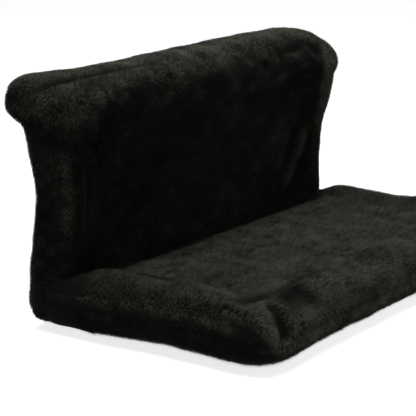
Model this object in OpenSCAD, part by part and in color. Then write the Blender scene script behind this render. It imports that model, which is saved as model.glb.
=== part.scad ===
// Cat radiator hammock: an L-shaped plush bed on a tube frame, hung on a radiator by two hooks
// The front faces -Y and the back plane, which lies against the radiator, faces +Y
// The origin is on the surface below the seat, under the middle of the whole part

/* [Bed] */
// Width of the seat and of the back below its roll
bed_w = 460; // [400:5:560]
// Depth from the back plane to the front edge of the seat
bed_d = 270; // [250:1:330]
// Height of the back above the underside of the seat
bed_h = 232; // [218:1:280]

/* [Cushions] */
// Thickness of the back cushion at its rim
back_t = 48; // [47:1:60]
// Thickness of the seat cushion in its middle
seat_t = 49; // [46:1:52]
// Thickness of the plush cover with its lining
plush_t = 4; // [3:0.5:5]
// Width of the rounded border of each cushion
edge_w = 24; // [22:1:28]
// Corner radius of each cushion, seen flat on
corner_r = 34; // [28:1:42]
// Radius of the back's two lower corners
foot_r = 20; // [14:1:28]
// Corner radius of the seat where it meets the back
rear_corner_r = 12; // [8:1:16]
// How far the padded rim of the seat stands above its middle
rim_rise = 5; // [2:0.5:7]
// How far the middle of the back is sunk between its rims
back_dish = 9; // [5:0.5:11]
// How far the free sides pull in between their corners
draw_in = 4; // [1:0.5:4.5]
// How far the top roll reaches back over the radiator
roll_reach = 26; // [20:1:30]
// How much thicker the back is at the front of its roll
roll_swell = 9; // [5:0.5:12]
// How far the roll stands out sideways at each end
roll_wide = 7; // [3:0.5:10]
// Height of the roll above the top of the radiator
roll_h = 40; // [37:1:44]
// Radius of the wadding in the top roll
roll_pad_r = 15; // [12:0.5:15.5]
// Play between the soft parts and what they hold
soft_gap = 0.3; // [0.3:0.1:0.6]

/* [Frame] */
// Outer diameter of the frame tube
tube_d = 14; // [12:0.5:15]
// Wall of the frame tube
tube_wall = 1.2; // [1:0.1:1.5]
// Bend radius of the upper and front corners, to the tube's middle
bend_r = 28; // [24:1:32]
// Bend radius where the back legs turn into the seat
low_bend_r = 20; // [16:1:20]
// Distance from the side of the wadding to the cushion's outline
rail_gap = 7; // [6.5:0.5:9]
// Length of the reduced end that plugs into the next tube
spigot_l = 28; // [20:1:32]
// Play of a reduced end in its tube, on the radius
spigot_play = 0.1; // [0.05:0.01:0.2]
// Straight length of tube before each reduced end
stub_l = 18; // [12:1:22]
// Straight length after each upper and front bend
bend_stub_l = 14; // [10:1:16]
// Shank diameter of the frame screws
screw_d = 4; // [3.5:0.1:4.5]
// Head diameter of the frame screws
screw_head_d = 7.5; // [6.5:0.1:8]
// Head height of the frame screws
screw_head_h = 2.2; // [1.8:0.1:2.6]
// Length of the frame screws under the head
screw_l = 9; // [7:0.5:10]
// Play of the screws in their holes, on the radius
screw_play = 0.1; // [0.05:0.01:0.2]

/* [Hooks] */
// Width of the flat steel hooks
hook_w = 25; // [20:1:30]
// Thickness of the flat steel hooks
hook_t = 4; // [3:0.5:4.5]
// Distance between the middles of the two hooks
hook_spacing = 190; // [160:2:220]
// Smallest radiator depth that the hooks take
hook_gap = 70; // [60:1:90]
// Travel of the hooks, added to the smallest depth
hook_travel = 30; // [20:1:30]
// Length of the hook that hangs behind the radiator
hook_drop = 48; // [42:1:60]
// Inner bend radius of the hooks
hook_bend = 5; // [4:0.5:8]
// Wall of the guide that holds the hook's arm
guide_wall = 2.5; // [2:0.1:3]
// Play of the arm in its guide, on each side
guide_play = 0.1; // [0.06:0.01:0.15]
// Wall of the rubber sleeve that lies on the radiator
sleeve_wall = 2.5; // [1.5:0.5:3]
// Length of the rubber sleeve on the hook's arm
sleeve_l = 40; // [24:1:44]

/* [Clamp screws] */
// Thread diameter of the clamp screws
clamp_d = 5; // [4:0.5:6]
// Play of the clamp screw in its boss, on the radius
clamp_play = 0.05; // [0.02:0.01:0.09]
// Diameter of the boss round the clamp screw
boss_d = 10; // [8:0.5:12]
// Height of the boss round the clamp screw
boss_h = 4; // [3:0.5:5]
// Diameter of the clamp screw's knob
knob_d = 15; // [12:0.5:15.5]
// Height of the clamp screw's knob
knob_h = 7; // [5:0.5:8]

/* [Zip] */
// Distance from each end of the zip to the side of the bed
zip_side = 80; // [70:5:130]
// Width of the opening that the zip closes
zip_slot = 12; // [10:0.5:14]
// Height of the hooks' arms above the middle of the zip
zip_drop = 34; // [28:1:42]
// Width of the zip's tape
tape_w = 26; // [22:1:30]
// Thickness of the zip's tape
tape_t = 1; // [0.6:0.1:1.4]
// Width of the zip's closed coil
coil_w = 5; // [4:0.2:5.6]
// Thickness of the zip's closed coil
coil_t = 1.6; // [1.2:0.1:1.8]
// Length of the zip's pull
pull_l = 22; // [16:1:28]

/* [Hidden] */
$fn = 32;

// How far every cut runs past the solid that it cuts
overrun = 1;

// Radius of the wadding round the rails, and where the rails run
wad_r = min(back_t, seat_t) / 2 - plush_t - soft_gap;
rail_in = rail_gap + wad_r + plush_t;
rail_x = bed_w / 2 - rail_in;
rail_y = -back_t / 2;
rail_z = seat_t / 2;
front_y = -bed_d + rail_in;
seat_rear = -back_t;
tube_r = tube_d / 2;
bore_d = tube_d - 2 * tube_wall;
spigot_d = bore_d - 2 * spigot_play;
sleeve_in = tube_r + soft_gap;

// Rings of a cushion, as shares of its rounded border and of the way to the roll's foot
border_shares = [0, 0.04, 0.16, 0.38, 0.68, 1];
roll_foot_share = 0.55;
inner_share = 2.7;
inner_ring = edge_w * inner_share;
rim_fade = inner_ring - edge_w;
ring_insets = concat(
  [for (s = border_shares) s * edge_w],
  [edge_w + (roll_h - edge_w) * roll_foot_share, roll_h, inner_ring]
);
arc_n = 4;
long_n = 8;
least_r_share = 0.25;

// Height of the part of the roll that lies over the hooks' arms
over_h = roll_h - hook_t;

// Points of a straight side, as shares of the way from its middle to its corner, the last one at
// the roll's foot
foot_share = min(0.97, (bed_h / 2 - over_h) / (bed_h / 2 - corner_r));
side_shares = [0, foot_share / 3, foot_share * 2 / 3, foot_share];
side_n = len(side_shares);

// The hooks' arms run just under the top roll, in guides that end behind the front skin, which
// sinks towards the middle of the back
arm_z = bed_h - roll_h;
guide_inset = roll_h + guide_play + guide_wall;
foot_dish = dish_at(roll_h);
guide_dish = foot_dish + (back_dish - foot_dish) * (guide_inset - roll_h) / (inner_ring - roll_h);
guide_front = -back_t + plush_t + guide_dish + soft_gap;
guide_rear = -plush_t / 2;
guide_low = arm_z - guide_play - guide_wall;
guide_top = arm_z + hook_t + guide_play + guide_wall;
guide_w = hook_w + 2 * (guide_play + guide_wall);
top_z = guide_top + tube_r;
hook_x = hook_spacing / 2;
leg_front = hook_gap + sleeve_wall;
leg_rear = leg_front + hook_t;
leg_low = arm_z + hook_t - hook_drop;

// The clamp screw stands behind the top tube, and the hook's arm is long enough to lie under it
// with the hook drawn right out
clamp_y = rail_y + tube_r + overrun + knob_d / 2;
arm_front = clamp_y - clamp_d / 2 - hook_travel;
knob_z = guide_top + boss_h + clamp_play;
flute_n = 6;

// The origin's distance in front of the back plane
origin_y = (bed_d - leg_rear - sleeve_wall) / 2;

// Where the tubes are joined
seat_joint_y = seat_rear - stub_l;
joint_x = rail_x - bend_r - bend_stub_l;
leg_z = rail_z + low_bend_r;
cross_z = leg_z + tube_r + screw_head_d / 2;
plug_l = spigot_l / 2;
joint_gap = soft_gap;

// Lower edge of the band that covers the roll, a little under the roll
band_z = arm_z - plush_t;
hook_slit_play = soft_gap * 2;

// The zip, with its slider and the ears and pin that hold the pull
zip_l = bed_w - 2 * zip_side;
zip_z = arm_z - zip_drop;
coil_y = -plush_t - soft_gap;
slider_l = 9;
slider_wall = 1.6;
slider_top_share = 0.7;
slider_play = 0.2;
slider_w = coil_w + 2 * (slider_wall + slider_play);
slider_low = coil_y + slider_play;
slider_in = coil_y + coil_t + slider_play;
slider_top = slider_in + slider_wall * slider_top_share;
slider_x = slider_l / 2 + slider_play - zip_l / 2;
pull_w = 5;
pull_t = 1;
pin_r = 0.6;
pin_play = 0.05;
pin_y = pull_t / 2 + slider_play;
eye_r = 1.2;
ear_t = 1;

color_plush = [0.11, 0.11, 0.11];
color_lining = [0.07, 0.07, 0.075];
color_steel = [0.2, 0.2, 0.21];
color_zinc = [0.72, 0.72, 0.74];
color_rubber = [0.05, 0.05, 0.05];
color_foam = [0.85, 0.84, 0.8];
color_wadding = [0.92, 0.92, 0.9];

// Puts a child from the back plane's frame into the part's own
module placed() {
  translate([0, origin_y, 0]) children();
}

// The same child on the right, or mirrored to the left
module on_side(side) {
  if (side > 0) children();
  else mirror([1, 0, 0]) children();
}

// Points of a corner arc, counter-clockwise
function arc_points(cx, cy, r, start) =
  [for (i = [0 : arc_n]) [cx + r * cos(start + 90 * i / arc_n), cy + r * sin(start + 90 * i / arc_n)]];

// A rounded rectangle that starts at the middle of its right side, with a radius for the
// corners on each long side
function outline(w, h, low_r, high_r) =
  let (
    a = w / 2 - high_r,
    b = h / 2 - high_r,
    c = w / 2 - low_r,
    d = h / 2 - low_r
  )
  concat(
    [for (s = side_shares) [w / 2, b * s]],
    arc_points(a, b, high_r, 0),
    [for (i = [1 : long_n - 1]) [a - 2 * a * i / long_n, h / 2]],
    arc_points(-a, b, high_r, 90),
    [for (i = [side_n - 1 : -1 : 0]) [-w / 2, b * side_shares[i]]],
    [for (i = [1 : side_n - 1]) [-w / 2, -d * side_shares[i]]],
    arc_points(-c, -d, low_r, 180),
    [for (i = [1 : long_n - 1]) [-c + 2 * c * i / long_n, -h / 2]],
    arc_points(c, -d, low_r, 270),
    [for (i = [side_n - 1 : -1 : 1]) [w / 2, -d * side_shares[i]]]
  );

// Pulls a point in towards the cushion's middle lines, between its corners, and out to the
// sides at the height of the roll
function drawn(p, w, h, low, high, wide) =
  let (
    across = max(0, 1 - pow(p.y / (h / 2 - corner_r), 2)),
    along = max(0, 1 - pow(p.x / (w / 2 - corner_r), 2)),
    pull = p.y > 0 ? high : low,
    out = wide * ease(p.y / (h / 2 - roll_h))
  )
  [p.x * (1 + (out - draw_in * across) * 2 / w), p.y * (1 - pull * along * 2 / h)];

function border(d) = d >= edge_w ? 1 : sqrt(1 - pow(1 - d / edge_w, 2));

function ease(t) =
  let (u = max(0, min(1, t)))
  u * u * (3 - 2 * u);

// One ring of the outer skin, or of the inner one when wall is the cover's thickness
function ring(w, h, inset, wall, low, high, low_r, high_r, wide, height) =
  let (
    d = inset < edge_w ? wall + inset * (edge_w - wall) / edge_w : inset,
    r = max(low_r - d, corner_r * least_r_share),
    s = max(high_r - d, corner_r * least_r_share)
  )
  [for (p = outline(w - 2 * d, h - 2 * d, r, s))
    let (q = drawn(p, w, h, low, high, wide))
    [q.x, q.y, border(inset) * (height(p.x, p.y, inset) - wall)]
  ];

// Half of a cushion's cover: a domed skin of even thickness that ends at its seam
module half_cover(w, h, low, high, low_r, high_r, wide, height) {
  n = 4 * (arc_n + long_n / 2 + side_n);
  k = len(ring_insets);
  outer = [for (d = ring_insets) each ring(w, h, d, 0, low, high, low_r, high_r, wide, height)];
  inner = [for (d = ring_insets) each ring(w, h, d, plush_t, low, high, low_r, high_r, wide, height)];
  m = n * k;
  last = n * (k - 1);
  skin = concat(
    [for (j = [0 : k - 2]) for (i = [0 : n - 1]) each
      let (a = j * n + i, b = a + n, c = (j + 1) * n + (i + 1) % n, d = j * n + (i + 1) % n)
      [[a, b, c], [a, c, d]]
    ],
    [[last, last + n - 1, last + 1]],
    [for (i = [1 : n / 2 - 2]) each
      [[last + i, last + n - i, last + n - i - 1], [last + i, last + n - i - 1, last + i + 1]]
    ],
    [[last + n / 2 - 1, last + n / 2 + 1, last + n / 2]]
  );
  faces = concat(
    skin,
    [for (f = skin) [f[0] + m, f[2] + m, f[1] + m]],
    [for (i = [0 : n - 1]) each
      let (j = (i + 1) % n)
      [[i, j, m + j], [i, m + j, m + i]]
    ]
  );
  polyhedron(points = concat(outer, inner), faces = faces);
}

// How far the back's front skin is sunk at a distance from its outline
function dish_at(d) = back_dish * ease((d - rail_in) / (inner_ring - rail_in));

// How far the front skin swells towards the roll, at a height from the middle of the back
function swell_at(y) = roll_swell * ease(y / (bed_h / 2 - roll_h / 2));

seat_l = bed_d - back_t;
seat_mid_y = seat_rear - seat_l / 2;

seat_top_height = function (x, y, d)
  seat_t / 2 + rim_rise * (d < edge_w ? d / edge_w : 1 - ease((d - edge_w) / rim_fade));
seat_low_height = function (x, y, d) seat_t / 2;
back_front_height = function (x, y, d) back_t / 2 - dish_at(d) + swell_at(y);
back_rear_height = function (x, y, d)
  let (q = (bed_h / 2 - y) / over_h)
  back_t / 2 + (q < 1 ? roll_reach * sqrt(max(0, 1 - pow(2 * q - 1, 2))) : 0);

// Round holes for the two frame tubes where they pass from the back into the seat
module tube_holes() {
  for (side = [-1, 1])
    translate([side * rail_x, seat_rear - edge_w, rail_z])
      rotate([-90, 0, 0])
        cylinder(r = sleeve_in, h = edge_w + back_t / 2);
}

module seat_top_cover() {
  color(color_plush) placed()
    difference() {
      translate([0, seat_mid_y, rail_z])
        half_cover(bed_w, seat_l, draw_in, 0, corner_r, rear_corner_r, 0, seat_top_height);
      tube_holes();
    }
}

module seat_under_cover() {
  color(color_lining) placed()
    difference() {
      translate([0, seat_mid_y, rail_z])
        mirror([0, 0, 1])
          half_cover(bed_w, seat_l, draw_in, 0, corner_r, rear_corner_r, 0, seat_low_height);
      tube_holes();
    }
}

module back_front_cover() {
  color(color_plush) placed()
    difference() {
      translate([0, rail_y, bed_h / 2])
        rotate([90, 0, 0])
          half_cover(bed_w, bed_h, 0, draw_in, foot_r, corner_r, roll_wide, back_front_height);
      tube_holes();
    }
}

module rear_half() {
  translate([0, rail_y, bed_h / 2])
    rotate([90, 0, 0])
      mirror([0, 0, 1])
        half_cover(bed_w, bed_h, 0, draw_in, foot_r, corner_r, roll_wide, back_rear_height);
}

// Everything of the rear half that lies above the hem of the top band
module above_hem() {
  half_w = bed_w / 2 + roll_wide + overrun;
  translate([-half_w, -back_t, band_z])
    cube([2 * half_w, back_t + roll_reach + overrun, roll_h + plush_t + overrun]);
}

module top_band_cover() {
  color(color_plush) placed()
    difference() {
      intersection() {
        rear_half();
        above_hem();
      }
      for (side = [-1, 1])
        translate([side * hook_x - guide_w / 2 - hook_slit_play, -back_t, band_z - overrun])
          cube([
            guide_w + 2 * hook_slit_play,
            back_t + roll_reach + overrun,
            guide_top - band_z + hook_slit_play + overrun
          ]);
    }
}

module back_rear_cover() {
  color(color_lining) placed()
    difference() {
      rear_half();
      above_hem();
      translate([-zip_l / 2, -plush_t - tape_t, zip_z - zip_slot / 2])
        cube([zip_l, plush_t + tape_t + overrun, zip_slot]);
      for (side = [-1, 1])
        translate([side * hook_x - guide_w / 2 - hook_slit_play, rail_y, guide_low - hook_slit_play])
          cube([guide_w + 2 * hook_slit_play, back_t, roll_h]);
    }
}

// A quarter bend of round bar that turns from +X to +Y round the origin
module bend(r, d) {
  rotate_extrude(angle = 90) translate([r, 0]) circle(d = d);
}

// Course of a side tube: from its upper reduced end, down the back and into the seat
module side_course(d, extra) {
  translate([rail_x, rail_y, leg_z]) cylinder(d = d, h = top_z - bend_r - leg_z);
  translate([rail_x - bend_r, rail_y, top_z - bend_r]) rotate([90, 0, 0]) bend(bend_r, d);
  translate([joint_x - extra, rail_y, top_z])
    rotate([0, 90, 0])
      cylinder(d = d, h = bend_stub_l + extra);
  translate([rail_x, rail_y - low_bend_r, leg_z])
    rotate([90, 0, 90])
      rotate([0, 0, -90])
        bend(low_bend_r, d);
  translate([rail_x, seat_joint_y - extra, rail_z])
    rotate([-90, 0, 0])
      cylinder(d = d, h = rail_y - low_bend_r - seat_joint_y + extra);
}

// A reduced end with its bore's core, along +Z
module spigot() {
  cylinder(d = spigot_d, h = spigot_l);
}

module spigot_core() {
  translate([0, 0, -overrun]) cylinder(d = spigot_d - 2 * tube_wall, h = spigot_l + 2 * overrun);
}

// A screw that points along +Z, its head under the origin
module frame_screw() {
  translate([0, 0, -screw_head_h]) cylinder(d = screw_head_d, h = screw_head_h);
  cylinder(d = screw_d, h = screw_l);
}

// The hole for it, through one wall of the tube and of the reduced end
module frame_screw_hole() {
  translate([0, 0, -overrun]) cylinder(r = screw_d / 2 + screw_play, h = tube_r + overrun);
}

// Places of the screws under the joints on one side
module joint_screw_places() {
  translate([rail_x, seat_joint_y - spigot_l / 2, rail_z - tube_r]) children();
  translate([joint_x - spigot_l / 2, front_y, rail_z - tube_r]) children();
  translate([joint_x - spigot_l / 2, rail_y, top_z - tube_r]) children();
}

// Place of the screw through a leg into the cross tube
module cross_screw_place() {
  translate([rail_x + tube_r, rail_y, cross_z]) rotate([0, -90, 0]) children();
}

module side_tube(side) {
  placed() on_side(side)
    difference() {
      union() {
        side_course(tube_d, 0);
        translate([rail_x, seat_joint_y, rail_z]) rotate([90, 0, 0]) spigot();
        translate([joint_x, rail_y, top_z]) rotate([0, -90, 0]) spigot();
      }
      side_course(spigot_d - 2 * tube_wall, 0);
      translate([rail_x, seat_joint_y, rail_z]) rotate([90, 0, 0]) spigot_core();
      translate([joint_x, rail_y, top_z]) rotate([0, -90, 0]) spigot_core();
      joint_screw_places() frame_screw_hole();
      cross_screw_place()
        translate([0, 0, -overrun])
          cylinder(r = screw_d / 2 + screw_play, h = tube_d + 2 * overrun);
    }
}

module left_frame_tube() {
  color(color_steel) side_tube(-1);
}

module right_frame_tube() {
  color(color_steel) side_tube(1);
}

// Course of a seat tube: forward from its joint and round the front corner
module seat_course(d, extra) {
  start_y = seat_joint_y - joint_gap;
  translate([rail_x, start_y + extra, rail_z])
    rotate([90, 0, 0])
      cylinder(d = d, h = start_y - front_y - bend_r + extra);
  translate([rail_x - bend_r, front_y + bend_r, rail_z]) rotate([0, 0, -90]) bend(bend_r, d);
  translate([joint_x, front_y, rail_z])
    rotate([0, 90, 0])
      cylinder(d = d, h = bend_stub_l);
}

module seat_tube(side) {
  placed() on_side(side)
    difference() {
      union() {
        seat_course(tube_d, 0);
        translate([joint_x, front_y, rail_z]) rotate([0, -90, 0]) spigot();
      }
      translate([rail_x, seat_joint_y, rail_z])
        rotate([90, 0, 0])
          cylinder(d = bore_d, h = spigot_l + overrun);
      seat_course(spigot_d - 2 * tube_wall, overrun);
      translate([joint_x, front_y, rail_z]) rotate([0, -90, 0]) spigot_core();
      joint_screw_places() frame_screw_hole();
    }
}

module seat_tube_left() {
  color(color_steel) seat_tube(-1);
}

module seat_tube_right() {
  color(color_steel) seat_tube(1);
}

// A straight tube between two reduced ends, with its two screw holes
module straight_tube(half_l, y, z) {
  difference() {
    translate([-half_l, y, z]) rotate([0, 90, 0]) cylinder(d = tube_d, h = 2 * half_l);
    translate([-half_l - overrun, y, z])
      rotate([0, 90, 0])
        cylinder(d = bore_d, h = 2 * (half_l + overrun));
    for (side = [-1, 1])
      translate([side * (half_l + joint_gap - spigot_l / 2), y, z - tube_r]) frame_screw_hole();
  }
}

module top_tube() {
  color(color_steel) placed() straight_tube(joint_x - joint_gap, rail_y, top_z);
}

module seat_front_tube() {
  color(color_steel) placed() straight_tube(joint_x - joint_gap, front_y, rail_z);
}

// The cross tube's ends are cut to the round of the legs
module cross_tube() {
  color(color_steel) placed()
    difference() {
      translate([-rail_x, rail_y, cross_z]) rotate([0, 90, 0]) cylinder(d = tube_d, h = 2 * rail_x);
      translate([-rail_x - overrun, rail_y, cross_z])
        rotate([0, 90, 0])
          cylinder(d = bore_d, h = 2 * (rail_x + overrun));
      for (side = [-1, 1])
        translate([side * rail_x, rail_y, cross_z - tube_d])
          cylinder(r = tube_r + spigot_play, h = 2 * tube_d);
    }
}

module cross_tube_plugs() {
  color(color_rubber) placed()
    for (side = [-1, 1]) on_side(side)
      translate([rail_x - tube_r - spigot_play, rail_y, cross_z])
        rotate([0, -90, 0])
          difference() {
            translate([0, 0, spigot_play]) cylinder(d = spigot_d, h = plug_l);
            cylinder(r = screw_d / 2 + screw_play, h = plug_l + overrun);
          }
}

module frame_screws() {
  color(color_zinc) placed()
    for (side = [-1, 1]) on_side(side) {
      joint_screw_places() frame_screw();
      cross_screw_place() {
        translate([0, 0, -screw_head_h]) cylinder(d = screw_head_d, h = screw_head_h);
        cylinder(d = screw_d, h = tube_d + screw_l);
      }
    }
}

// A box-section guide under the top tube, with a threaded boss for the clamp screw
module hook_guide(side) {
  placed()
    translate([side * hook_x, 0, 0])
      difference() {
        union() {
          translate([-guide_w / 2, guide_front, guide_low])
            cube([guide_w, guide_rear - guide_front, guide_top - guide_low]);
          translate([0, clamp_y, guide_top - guide_wall / 2])
            cylinder(d = boss_d, h = boss_h + guide_wall / 2);
        }
        translate([-hook_w / 2 - guide_play, guide_front - overrun, arm_z - guide_play])
          cube([
            hook_w + 2 * guide_play,
            guide_rear - guide_front + 2 * overrun,
            hook_t + 2 * guide_play
          ]);
        translate([0, clamp_y, arm_z])
          cylinder(r = clamp_d / 2 + clamp_play, h = guide_top - arm_z + boss_h + overrun);
      }
}

module hook_guide_left() {
  color(color_steel) hook_guide(-1);
}

module hook_guide_right() {
  color(color_steel) hook_guide(1);
}

// Side view of a hook: the arm, a round bend and the leg with its round tip, all of it larger by
// the same length for the sleeve over it
hook_r = hook_bend + hook_t;
bend_y = leg_rear - hook_r;
bend_z = arm_z + hook_t - hook_r;

module hook_profile(from_y, grow) {
  tip_z = leg_low + hook_t / 2;
  translate([from_y, arm_z - grow]) square([bend_y - from_y, hook_t + 2 * grow]);
  translate([leg_front - grow, tip_z]) square([hook_t + 2 * grow, bend_z - tip_z]);
  translate([leg_front + hook_t / 2, tip_z]) circle(r = hook_t / 2 + grow);
  intersection() {
    translate([bend_y, bend_z])
      difference() {
        circle(r = hook_r + grow);
        circle(r = hook_bend - grow);
      }
    translate([bend_y, bend_z]) square([hook_r + grow + overrun, hook_r + grow + overrun]);
  }
}

// The profile as a strip across one hook
module hook_strip(side, from_y, grow) {
  translate([side * hook_x - hook_w / 2 - grow, 0, 0])
    rotate([90, 0, 90])
      linear_extrude(height = hook_w + 2 * grow) hook_profile(from_y, grow);
}

module hook(side) {
  placed() hook_strip(side, arm_front, 0);
}

module hook_left() {
  color(color_zinc) hook(-1);
}

module hook_right() {
  color(color_zinc) hook(1);
}

module rounded_rect(w, h, r) {
  for (x = [-1, 1])
    for (y = [-1, 1])
      translate([x * (w / 2 - r), y * (h / 2 - r)]) circle(r = r);
  square([w - 2 * r, h], center = true);
  square([w, h - 2 * r], center = true);
}

// A rubber sleeve pushed over the hook's leg and bend, closed at the tip
module hook_sleeve(side) {
  placed()
    difference() {
      hook_strip(side, bend_y - sleeve_l, sleeve_wall);
      hook_strip(side, bend_y - sleeve_l - overrun, guide_play);
    }
}

module hook_sleeve_left() {
  color(color_rubber) hook_sleeve(-1);
}

module hook_sleeve_right() {
  color(color_rubber) hook_sleeve(1);
}

// A knurled knob on a threaded shank that presses on the hook's arm
module clamp_screw(side) {
  flute_r = knob_d / (flute_n * 2);
  tip_z = arm_z + hook_t + clamp_play;
  placed()
    translate([side * hook_x, clamp_y, 0]) {
      translate([0, 0, tip_z]) cylinder(d = clamp_d, h = knob_z - tip_z);
      translate([0, 0, knob_z])
        linear_extrude(height = knob_h)
          difference() {
            circle(d = knob_d);
            for (i = [0 : flute_n - 1])
              rotate([0, 0, i * 360 / flute_n]) translate([knob_d / 2, 0]) circle(r = flute_r);
          }
    }
}

module clamp_screw_left() {
  color(color_rubber) clamp_screw(-1);
}

module clamp_screw_right() {
  color(color_rubber) clamp_screw(1);
}

// Wadding of the top roll between two places across the bed, hollow for the tube
rear_pad_share = 0.45;

module top_wadding(from_x, to_x) {
  rear_pad_r = rear_pad_share * (over_h / 2 - plush_t - soft_gap);
  rear_pad_y = (roll_reach - plush_t) / 3;
  front_pad_y = -back_t - roll_swell / 2 + plush_t + soft_gap + roll_pad_r + draw_in;
  placed()
    difference() {
      translate([from_x, 0, 0])
        rotate([90, 0, 90])
          linear_extrude(height = to_x - from_x) {
            translate([front_pad_y, top_z]) circle(r = roll_pad_r);
            translate([rear_pad_y, top_z]) circle(r = rear_pad_r);
            polygon([
              [front_pad_y, top_z - roll_pad_r],
              [rear_pad_y, top_z - rear_pad_r],
              [rear_pad_y, top_z + rear_pad_r],
              [front_pad_y, top_z + roll_pad_r]
            ]);
          }
      translate([from_x - overrun, rail_y, top_z])
        rotate([0, 90, 0])
          cylinder(r = sleeve_in, h = to_x - from_x + 2 * overrun);
      for (side = [-1, 1]) on_side(side)
        joint_screw_places()
          translate([0, 0, -roll_pad_r])
            cylinder(r = screw_head_d / 2 + soft_gap, h = roll_pad_r + overrun);
    }
}

wad_start_x = hook_x + guide_w / 2 + soft_gap * 2;
wad_end_x = rail_x - bend_r;

module top_wadding_left() {
  color(color_wadding) top_wadding(-wad_end_x, -wad_start_x);
}

module top_wadding_middle() {
  middle_x = hook_x - guide_w / 2 - soft_gap * 2;
  color(color_wadding) top_wadding(-middle_x, middle_x);
}

module top_wadding_right() {
  color(color_wadding) top_wadding(wad_start_x, wad_end_x);
}

// Wadding wrapped round a leg of the back, above the cross tube
module back_wadding(side) {
  low = cross_z + tube_r + soft_gap;
  high = top_z - bend_r;
  placed()
    translate([side * rail_x, rail_y, low])
      difference() {
        cylinder(r = wad_r, h = high - low);
        translate([0, 0, -overrun]) cylinder(r = sleeve_in, h = high - low + 2 * overrun);
      }
}

module back_wadding_left() {
  color(color_wadding) back_wadding(-1);
}

module back_wadding_right() {
  color(color_wadding) back_wadding(1);
}

// Course of the wadding that runs round the seat's three free sides
module seat_wad_course(r, extra) {
  start_y = seat_rear - edge_w;
  for (side = [-1, 1]) on_side(side) {
    translate([rail_x, start_y + extra, rail_z])
      rotate([90, 0, 0])
        cylinder(r = r, h = start_y - front_y - bend_r + extra);
    translate([rail_x - bend_r, front_y + bend_r, rail_z])
      rotate([0, 0, -90])
        bend(bend_r, 2 * r);
  }
  translate([bend_r - rail_x, front_y, rail_z])
    rotate([0, 90, 0])
      cylinder(r = r, h = 2 * (rail_x - bend_r));
}

module seat_rim_wadding() {
  color(color_wadding) placed()
    difference() {
      seat_wad_course(wad_r, 0);
      seat_wad_course(sleeve_in, overrun);
      for (side = [-1, 1]) on_side(side)
        joint_screw_places()
          translate([0, 0, -wad_r])
            cylinder(r = screw_head_d / 2 + soft_gap, h = wad_r + overrun);
    }
}

// Foam board of the back, standing on the cross tube
module back_foam() {
  half_w = rail_x - wad_r - soft_gap;
  rear_y = -plush_t - tape_t - 2 * soft_gap;
  face_y = -back_t + plush_t + back_dish + soft_gap;
  low = cross_z + tube_r + soft_gap;
  high = guide_low - 2 * soft_gap;
  color(color_foam) placed()
    translate([0, rear_y, (low + high) / 2])
      rotate([90, 0, 0])
        linear_extrude(height = rear_y - face_y)
          rounded_rect(2 * half_w, high - low, tube_r);
}

// Foam board of the seat, between the padded rails
module seat_foam() {
  half_w = rail_x - wad_r - soft_gap;
  rear_y = seat_rear - edge_w;
  near_y = front_y + wad_r + soft_gap;
  foam_r = bend_r - wad_r - soft_gap;
  color(color_foam) placed()
    translate([0, (rear_y + near_y) / 2, plush_t + soft_gap])
      linear_extrude(height = seat_t - 2 * (plush_t + soft_gap))
        rounded_rect(2 * half_w, rear_y - near_y, foam_r);
}

// The closed zip: its tape behind the slot and the coil in the slot
module zip_tape() {
  color(color_lining) placed() {
    translate([-zip_l / 2 - zip_slot / 2, coil_y - tape_t, zip_z - tape_w / 2])
      cube([zip_l + zip_slot, tape_t, tape_w]);
    translate([-zip_l / 2, coil_y, zip_z - coil_w / 2]) cube([zip_l, coil_t, coil_w]);
  }
}

// The slider straddles the coil and carries two ears and a pin for the pull
module zip_slider() {
  ear_z = pull_w / 2 + slider_play;
  color(color_zinc) placed()
    translate([slider_x, 0, zip_z])
      difference() {
        union() {
          translate([-slider_l / 2, slider_low, -slider_w / 2])
            cube([slider_l, slider_top - slider_low, slider_w]);
          for (side = [-1, 1]) {
            translate([-eye_r, slider_in, side > 0 ? ear_z : -ear_z - ear_t])
              cube([2 * eye_r, pin_y - slider_in, ear_t]);
            translate([0, pin_y, side > 0 ? ear_z : -ear_z - ear_t]) cylinder(r = eye_r, h = ear_t);
          }
          translate([0, pin_y, -ear_z - ear_t / 2]) cylinder(r = pin_r, h = 2 * ear_z + ear_t);
        }
        translate([-slider_l / 2 - overrun, slider_low - overrun, slider_wall - slider_w / 2])
          cube([slider_l + 2 * overrun, slider_in - slider_low + overrun, slider_w - 2 * slider_wall]);
      }
}

module zip_pull() {
  color(color_zinc) placed()
    translate([slider_x, pin_y, zip_z])
      difference() {
        union() {
          translate([0, -pull_t / 2, -pull_w / 2]) cube([pull_l - pull_w / 2, pull_t, pull_w]);
          translate([pull_l - pull_w / 2, -pull_t / 2, 0])
            rotate([-90, 0, 0])
              cylinder(d = pull_w, h = pull_t);
          translate([0, 0, -pull_w / 2]) cylinder(r = eye_r, h = pull_w);
        }
        translate([0, 0, -pull_w / 2 - overrun])
          cylinder(r = pin_r + pin_play, h = pull_w + 2 * overrun);
        translate([pull_l - pull_w / 2, -pull_t, 0])
          rotate([-90, 0, 0])
            cylinder(d = pull_w / 2, h = 2 * pull_t);
      }
}

left_frame_tube();
right_frame_tube();
top_tube();
cross_tube();
seat_tube_left();
seat_tube_right();
seat_front_tube();
frame_screws();
cross_tube_plugs();
hook_guide_left();
hook_guide_right();
hook_left();
hook_right();
hook_sleeve_left();
hook_sleeve_right();
clamp_screw_left();
clamp_screw_right();
top_wadding_left();
top_wadding_middle();
top_wadding_right();
back_wadding_left();
back_wadding_right();
seat_rim_wadding();
back_foam();
seat_foam();
back_front_cover();
back_rear_cover();
top_band_cover();
seat_top_cover();
seat_under_cover();
zip_tape();
zip_slider();
zip_pull();
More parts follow.
